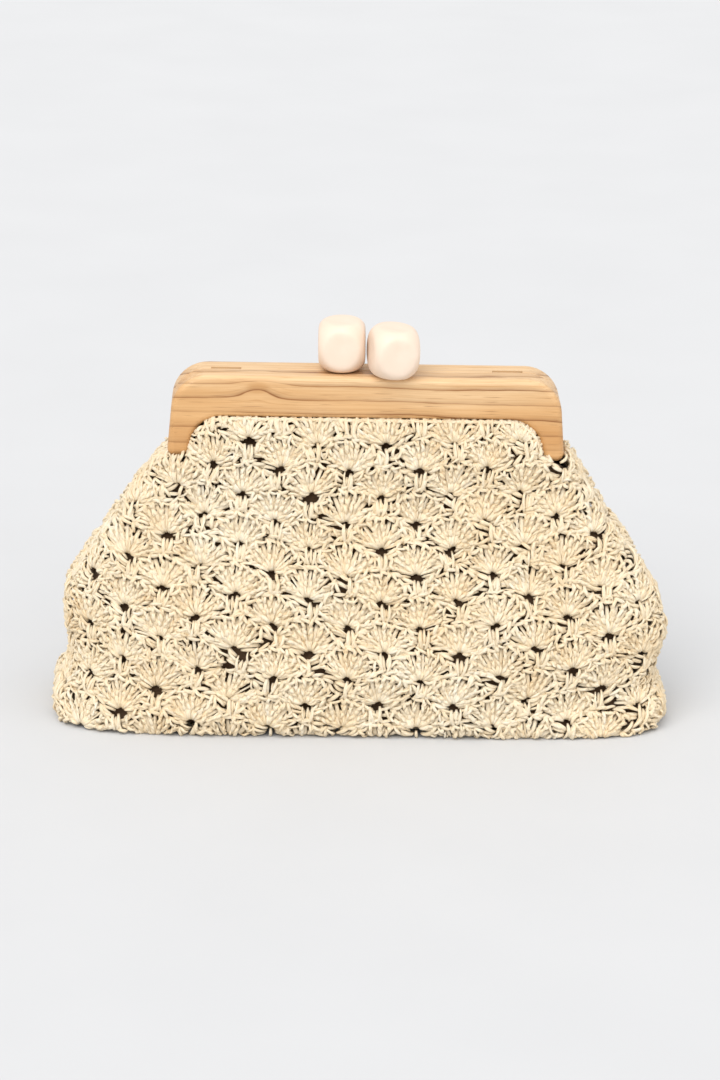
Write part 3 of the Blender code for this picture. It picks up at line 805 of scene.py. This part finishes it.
def wood_material(name, shift, knot_at):
    n = Nodes(name)
    place = n.scaled(n.position(), (1, 1, 1), shift)
    _, y, z = n.split(place)
    slow = n.noise(n.scaled(place, (5.0, 9.0, 16.0)), 1.0, 2, 0.5)
    wander = n.noise(n.scaled(place, (22.0, 30.0, 70.0)), 1.0, 3, 0.5)
    bend = n.math("MULTIPLY_ADD", slow, 0.013, n.math("MULTIPLY", wander, 0.0036))
    bend = n.math("SUBTRACT", bend, n.math("MULTIPLY", knot(n, *knot_at), 0.0045))
    rings = n.math("DIVIDE", n.math("ADD", n.math("MULTIPLY_ADD", y, 0.35, z), bend), RING_WIDTH)
    ring = n.math("FRACT", rings)
    late = n.ramp(
        ring,
        [
            (0.0, (1, 1, 1, 1)), (0.05, (0.5, 0.5, 0.5, 1)), (0.2, (0.2, 0.2, 0.2, 1)),
            (0.6, (0.0, 0.0, 0.0, 1)), (0.94, (0.12, 0.12, 0.12, 1)), (0.975, (1, 1, 1, 1)),
        ],
    )
    fade = n.remap(n.noise(n.scaled(place, (14.0, 40.0, 95.0), (3, 1, 2)), 1.0, 3, 0.6), 0.34, 0.6)
    late = n.math("MULTIPLY", n.split(late)[0], n.math("MULTIPLY_ADD", fade, 0.75, 0.25))
    streak = n.noise(n.scaled(place, (16.0, 420.0, 620.0)), 1.0, 4, 0.6)
    pore = n.noise(n.scaled(place, (60.0, 1500.0, 1900.0)), 1.0, 2, 0.5)
    hue = n.noise(n.scaled(place, (7.0, 22.0, 45.0), (9, 4, 7)), 1.0, 2, 0.5)
    # Painted light and shade: the wood is made darker lower down and lighter towards the top, with
    # an extra lighter band on the top face.
    _, _, height_in_board = n.split(n.position())
    painted_light_by_height = n.remap(height_in_board, 0.140, 0.176, -0.3, 0.35)
    painted_light_by_height = n.math("ADD", painted_light_by_height, n.remap(height_in_board, 0.1755, 0.1785, 0.0, 0.4))
    colour = n.ramp(
        n.math("ADD", n.remap(hue, 0.3, 0.7), painted_light_by_height),
        [(0.0, rgb(200, 147, 90)), (0.5, rgb(218, 173, 120)), (1.0, rgb(228, 194, 150))],
    )
    eye = knot(n, knot_at[0], knot_at[1] + 0.001)
    core = n.remap(eye, 0.55, 0.97, 0.0, 0.5, smooth=True)
    colour = n.mix(core, colour, rgb(186, 132, 74))
    colour = n.mix(late, colour, rgb(122, 72, 32))
    fine = n.math("FRACT", n.math("MULTIPLY", rings, 3.0))
    fine = n.math("MULTIPLY", n.remap(fine, 0.7, 1.0, 0.0, 0.45), fade)
    colour = n.mix(fine, colour, rgb(176, 124, 70))
    colour = n.mix(n.remap(streak, 0.42, 0.76, 0.0, 0.55), colour, rgb(190, 138, 82))
    colour = n.mix(n.remap(pore, 0.62, 0.75, 0.0, 0.65), colour, rgb(138, 90, 46))
    height = n.math("MULTIPLY_ADD", streak, 0.7, n.math("MULTIPLY", pore, -0.4))
    n.bump(height, 0.00012, 0.6)
    return n.surface(colour, n.remap(streak, 0.3, 0.8, 0.40, 0.56), specular=0.4)


def bead_material():
    n = Nodes("bead")
    cloud = n.noise(n.position(), 60.0, 3, 0.5, 0.6)
    fine = n.noise(n.position(), 300.0, 2, 0.5)
    colour = n.ramp(
        n.remap(cloud, 0.3, 0.7),
        [(0.0, rgb(231, 209, 189)), (0.6, rgb(234, 213, 194)), (1.0, rgb(237, 217, 199))],
    )
    return n.surface(colour, n.remap(fine, 0.3, 0.7, 0.42, 0.48), specular=0.35)


def metal_material(name, dark, light, roughness):
    n = Nodes(name)
    cloud = n.noise(n.position(), 420.0, 4, 0.6)
    scratch = n.noise(n.scaled(n.position(), (300.0, 2500.0, 300.0)), 1.0, 3, 0.6)
    colour = n.mix(n.remap(cloud, 0.35, 0.7), light, dark)
    n.bump(scratch, 0.00003, 0.5)
    return n.surface(colour, n.remap(scratch, 0.3, 0.7, roughness - 0.08, roughness + 0.12), 1.0)


def lining_material():
    n = Nodes("lining")
    a, s, _ = n.split(n.attribute("weave"))
    warp = n.math("SINE", n.math("MULTIPLY", a, 2 * math.pi / 0.55))
    weft = n.math("SINE", n.math("MULTIPLY", s, 2 * math.pi / 0.55))
    weave = n.math("MULTIPLY_ADD", n.math("MULTIPLY", warp, weft), 0.5, 0.5)
    slub = n.noise(n.scaled(n.attribute("weave"), (0.25, 3.0, 1.0)), 1.0, 3, 0.6)
    colour = n.ramp(
        n.math("MULTIPLY_ADD", weave, 0.35, n.remap(slub, 0.3, 0.7, 0.0, 0.65)),
        [(0.0, rgb(74, 55, 38)), (0.5, rgb(96, 73, 52)), (1.0, rgb(118, 92, 68))],
    )
    n.bump(weave, 0.0002, 0.6)
    n.shader.inputs["Sheen Weight"].default_value = 0.15
    return n.surface(colour, n.remap(slub, 0.3, 0.7, 0.78, 0.92), specular=0.3)


def floor_material():
    n = Nodes("floor")
    speck = n.noise(n.position(), 9.0, 2, 0.5)
    colour = n.ramp(speck, [(0.3, rgb(205, 206, 208)), (0.7, rgb(207, 208, 210))])
    return n.surface(colour, 0.9, specular=0.0)


# ---------------------------------------------------------------- pieces


def dress_cad_nodes():
    looks = {
        "front_wood": wood_material("wood_front", (0.031, 0.0, 0.0024), (-0.054, 0.172)),
        "rear_wood": wood_material("wood_rear", (0.47, 0.2, 0.113), (0.041, 0.166)),
        "strip": wood_material("strip", (0.9, 0.4, 0.31), (0.3, 0.3)),
        "brass": metal_material("brass", rgb(150, 98, 38), rgb(206, 154, 80), 0.3),
        "steel": metal_material("steel", rgb(150, 146, 140), rgb(196, 192, 186), 0.36),
    }
    for name, obj in NODES.items():
        if "frame_wood" in name:
            look = looks["front_wood" if name.startswith("front") else "rear_wood"]
        elif "retaining_strip" in name:
            look = looks["strip"]
        elif "screw" in name or "loop_pin" in name:
            look = looks["steel"]
        else:
            look = looks["brass"]
        if not obj.material_slots:
            obj.data.materials.append(look)
        for slot in obj.material_slots:
            slot.material = look
        smooth = np.ones(len(obj.data.polygons), bool)
        obj.data.polygons.foreach_set("use_smooth", smooth)
        obj.data.set_sharp_from_angle(angle=math.radians(32))


def bead_piece(end, look):
    """A fine copy of the CAD bead: a cube rounded off by a ball."""
    node = f"{end}_bead"
    low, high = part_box(node)
    half, ball = BEAD_HALF * MM, BEAD_BALL * MM
    turn = Euler([math.radians(a) for a in BEAD_TURN[end]])
    bm = bmesh.new()
    bmesh.ops.create_cube(bm, size=2)
    bmesh.ops.subdivide_edges(bm, edges=bm.edges, cuts=31, use_grid_fill=True)
    for vert in bm.verts:
        way = Vector([math.tan(c * math.pi / 4) for c in vert.co]).normalized()
        cube = half / sum(abs(c) ** CUBE_POWER for c in way) ** (1 / CUBE_POWER)
        rounded = (cube**-ROUNDING_POWER + ball**-ROUNDING_POWER) ** (-1 / ROUNDING_POWER)
        vert.co = way * rounded * BEAD_STRETCH
    mesh = bpy.data.meshes.new(f"{end}_polished_bead")
    bm.to_mesh(mesh)
    bm.free()
    mesh.polygons.foreach_set("use_smooth", np.ones(len(mesh.polygons), bool))
    obj = bpy.data.objects.new(f"{end}_polished_bead", mesh)
    bpy.context.scene.collection.objects.link(obj)
    obj.location = (low + high) / 2
    obj.rotation_euler = turn
    mesh.materials.append(look)
    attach(obj, f"{end}_half")
    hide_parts(node)
    return obj


BLEND_TOP, BLEND_FOOT = 150.0, 118.0


def add_object(name, mesh, look):
    obj = bpy.data.objects.new(name, mesh)
    bpy.context.scene.collection.objects.link(obj)
    mesh.materials.append(look)
    return obj


def make_crochet(end, surface, look):
    rng = np.random.default_rng(31 if end == "front" else 57)
    side = -1 if end == "front" else 1
    strands = crochet_strands(surface, rng)
    control = np.array(strands.control, float)
    line = bezier(control, STRAND_STEPS)
    a, s, h = line[..., 0], line[..., 1], line[..., 2]
    centre, normal = surface.at(a, s, h)
    middle = centre[:, STRAND_STEPS // 2].copy()
    centre = dive(centre)
    mid_a, mid_s = a[:, STRAND_STEPS // 2], s[:, STRAND_STEPS // 2]
    keep = keep_inside(middle) & ~stick_out(centre)
    keep &= np.abs(mid_a) < surface.seam_at(mid_s) + 1.0
    keep &= mid_s < surface.end - 0.6
    keep &= centre[:, :, 2].min(1) > 0.5
    if side > 0:
        centre = centre * (-1, -1, 1)
        normal = normal * (-1, -1, 1)
    width, thick, taper, tone = (
        np.array(v, float) for v in (strands.width, strands.thick, strands.taper, strands.tone)
    )
    upper = centre[:, :, 2].max(1) > BLEND_FOOT - 1
    x = centre[:, STRAND_STEPS // 2, 0]
    lower_s = np.where(mid_s > np.median(mid_s[keep & ~upper]), 1, 0)
    groups = {f"{end}_crochet_upper": keep & upper}
    for band, name in ((0, "middle"), (1, "base")):
        chosen = keep & ~upper & (lower_s == band)
        low, high = np.quantile(x[chosen], (1 / 3, 2 / 3))
        for part, inside in (
            ("left", x < low), ("centre", (x >= low) & (x < high)), ("right", x >= high)
        ):
            groups[f"{end}_crochet_{name}_{part}"] = chosen & inside
    made = []
    for name, chosen in groups.items():
        mesh = strand_mesh(
            name, centre[chosen], normal[chosen], width[chosen], thick[chosen],
            taper[chosen], tone[chosen],
        )
        obj = add_object(name, mesh, look)
        if name.endswith("upper"):
            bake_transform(obj)
            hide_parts(f"{end}_crochet_top")
        else:
            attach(obj, "pouch")
        made.append(obj)
    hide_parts(f"crochet_{end}")
    return made


def make_lining(end, surface, look):
    """The cloth inside one half, from the groove in the arch down to the middle of the base."""
    side = -1 if end == "front" else 1
    top = surface.down_at(BAR_BOTTOM - 0.4)
    downs = np.concatenate([np.arange(top, 60, 1.5), np.linspace(60, surface.end, 60)])
    across = np.linspace(-1, 1, 121)
    points, coords = [], []
    for s in downs:
        height = float(surface.at(np.array([0.0]), np.array([s]))[0][0, 2])
        reach = surface.seam_at(s)
        if height > FOOT - LINING_TOP_GAP:
            narrow = surface.across_at(arch_inside(height) - 0.3, s)
            share = smoothstep(height, FOOT - LINING_TOP_GAP, FOOT + 1.5)
            reach = reach + (narrow - reach) * share
        a = across * reach
        p, n = surface.at(a, np.full(len(a), s))
        inset = LINING_INSET + 0.35 * np.sin(a / 9 + s / 14) + 0.3 * np.sin(a / 5.3 - s / 8)
        p = p - n * inset[:, None]
        gather = smoothstep(height, GATHER_FROM, BAR_BOTTOM - 1.0)
        p[:, 1] = p[:, 1] * (1 - gather) - GATHERED_DEPTH * gather
        p[:, 1] = np.minimum(p[:, 1], -0.25)
        p[:, 2] = np.maximum(p[:, 2], LINING_FLOOR) if height < 20 else p[:, 2]
        points.append(p)
        coords.append(np.column_stack([a, np.full(len(a), s), 0 * a]))
    grid = np.array(points)
    if side > 0:
        grid = grid * (-1, -1, 1)
    rows, columns, _ = grid.shape
    index = np.arange(rows * columns).reshape(rows, columns)
    faces = np.stack([index[:-1, :-1], index[:-1, 1:], index[1:, 1:], index[1:, :-1]], -1)
    mesh = bpy.data.meshes.new(f"{end}_lining_cloth")
    mesh.from_pydata((grid.reshape(-1, 3) * MM).tolist(), [], faces.reshape(-1, 4).tolist())
    mesh.polygons.foreach_set("use_smooth", np.ones(len(mesh.polygons), bool))
    weave = mesh.attributes.new("weave", "FLOAT_VECTOR", "POINT")
    weave.data.foreach_set("vector", np.array(coords).astype(np.float32).ravel())
    obj = add_object(f"{end}_lining_cloth", mesh, look)
    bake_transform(obj)
    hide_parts(f"{end}_lining_top", "lining")
    return obj


# ---------------------------------------------------------------- stage, lights and camera


def add_sun(name, azimuth, elevation, softness, strength, colour=(1, 1, 1)):
    """A wide soft source far away. Azimuth 0 stands in front of the purse, 90 to its right."""
    light = bpy.data.lights.new(name, "SUN")
    light.energy = strength
    light.angle = math.radians(softness)
    light.color = colour
    obj = bpy.data.objects.new(name, light)
    bpy.context.scene.collection.objects.link(obj)
    a, e = math.radians(azimuth), math.radians(elevation)
    way = Vector((math.sin(a) * math.cos(e), -math.cos(a) * math.cos(e), math.sin(e)))
    obj.rotation_euler = way.to_track_quat("Z", "Y").to_euler()
    obj.location = way * 2
    return obj


KEY_COLOUR = (1.0, 0.985, 0.96)
SKY_STRENGTH = 0.8
FLOOR_HALF = 12  # metres


def make_stage():
    bpy.context.scene.view_settings.view_transform = "Standard"
    bm = bmesh.new()
    bmesh.ops.create_grid(bm, x_segments=24, y_segments=24, size=FLOOR_HALF)
    mesh = bpy.data.meshes.new("floor")
    bm.to_mesh(mesh)
    bm.free()
    floor = bpy.data.objects.new("floor", mesh)
    bpy.context.scene.collection.objects.link(floor)
    mesh.materials.append(floor_material())
    world = bpy.data.worlds.new("studio")
    bpy.context.scene.world = world
    world.use_nodes = True
    background = world.node_tree.nodes["Background"]
    background.inputs["Color"].default_value = (1.0, 1.0, 1.0, 1.0)
    background.inputs["Strength"].default_value = SKY_STRENGTH
    add_sun("key", azimuth=-28, elevation=50, softness=50, strength=2.0, colour=KEY_COLOUR)
    add_sun("fill", azimuth=48, elevation=28, softness=80, strength=0.7)


CAMERA_DISTANCE = 1.8
CAMERA_AZIMUTH = math.radians(-1.3)
CAMERA_ELEVATION = math.radians(19.6)
CAMERA_ROLL = math.radians(1.2)
CAMERA_TARGET = Vector((-0.0017, 0, 0.0892))
CAMERA_SENSOR = 36.0
CAMERA_FOCAL = 118.897


def make_camera():
    data = bpy.data.cameras.new("camera")
    camera = bpy.data.objects.new("camera", data)
    bpy.context.scene.collection.objects.link(camera)
    back = Vector(
        (
            math.sin(CAMERA_AZIMUTH) * math.cos(CAMERA_ELEVATION),
            -math.cos(CAMERA_AZIMUTH) * math.cos(CAMERA_ELEVATION),
            math.sin(CAMERA_ELEVATION),
        )
    )
    data.sensor_fit = "AUTO"
    data.sensor_width = CAMERA_SENSOR
    data.lens = CAMERA_FOCAL
    data.clip_start, data.clip_end = 0.01, 100.0
    camera.location = CAMERA_TARGET + back * CAMERA_DISTANCE
    look = (-back).to_track_quat("-Z", "Y").to_matrix()
    camera.rotation_euler = (look @ Matrix.Rotation(CAMERA_ROLL, 3, "Z")).to_euler()
    bpy.context.scene.camera = camera


def main():
    make_camera()
    make_stage()
    dress_cad_nodes()
    bead_look = bead_material()
    for end in ("front", "rear"):
        bead_piece(end, bead_look)
    raffia, cloth = raffia_material(), lining_material()
    for end in ("front", "rear"):
        make_crochet(end, Surface(end, tucked=True), raffia)
        make_lining(end, Surface(end, tucked=False), cloth)


main()
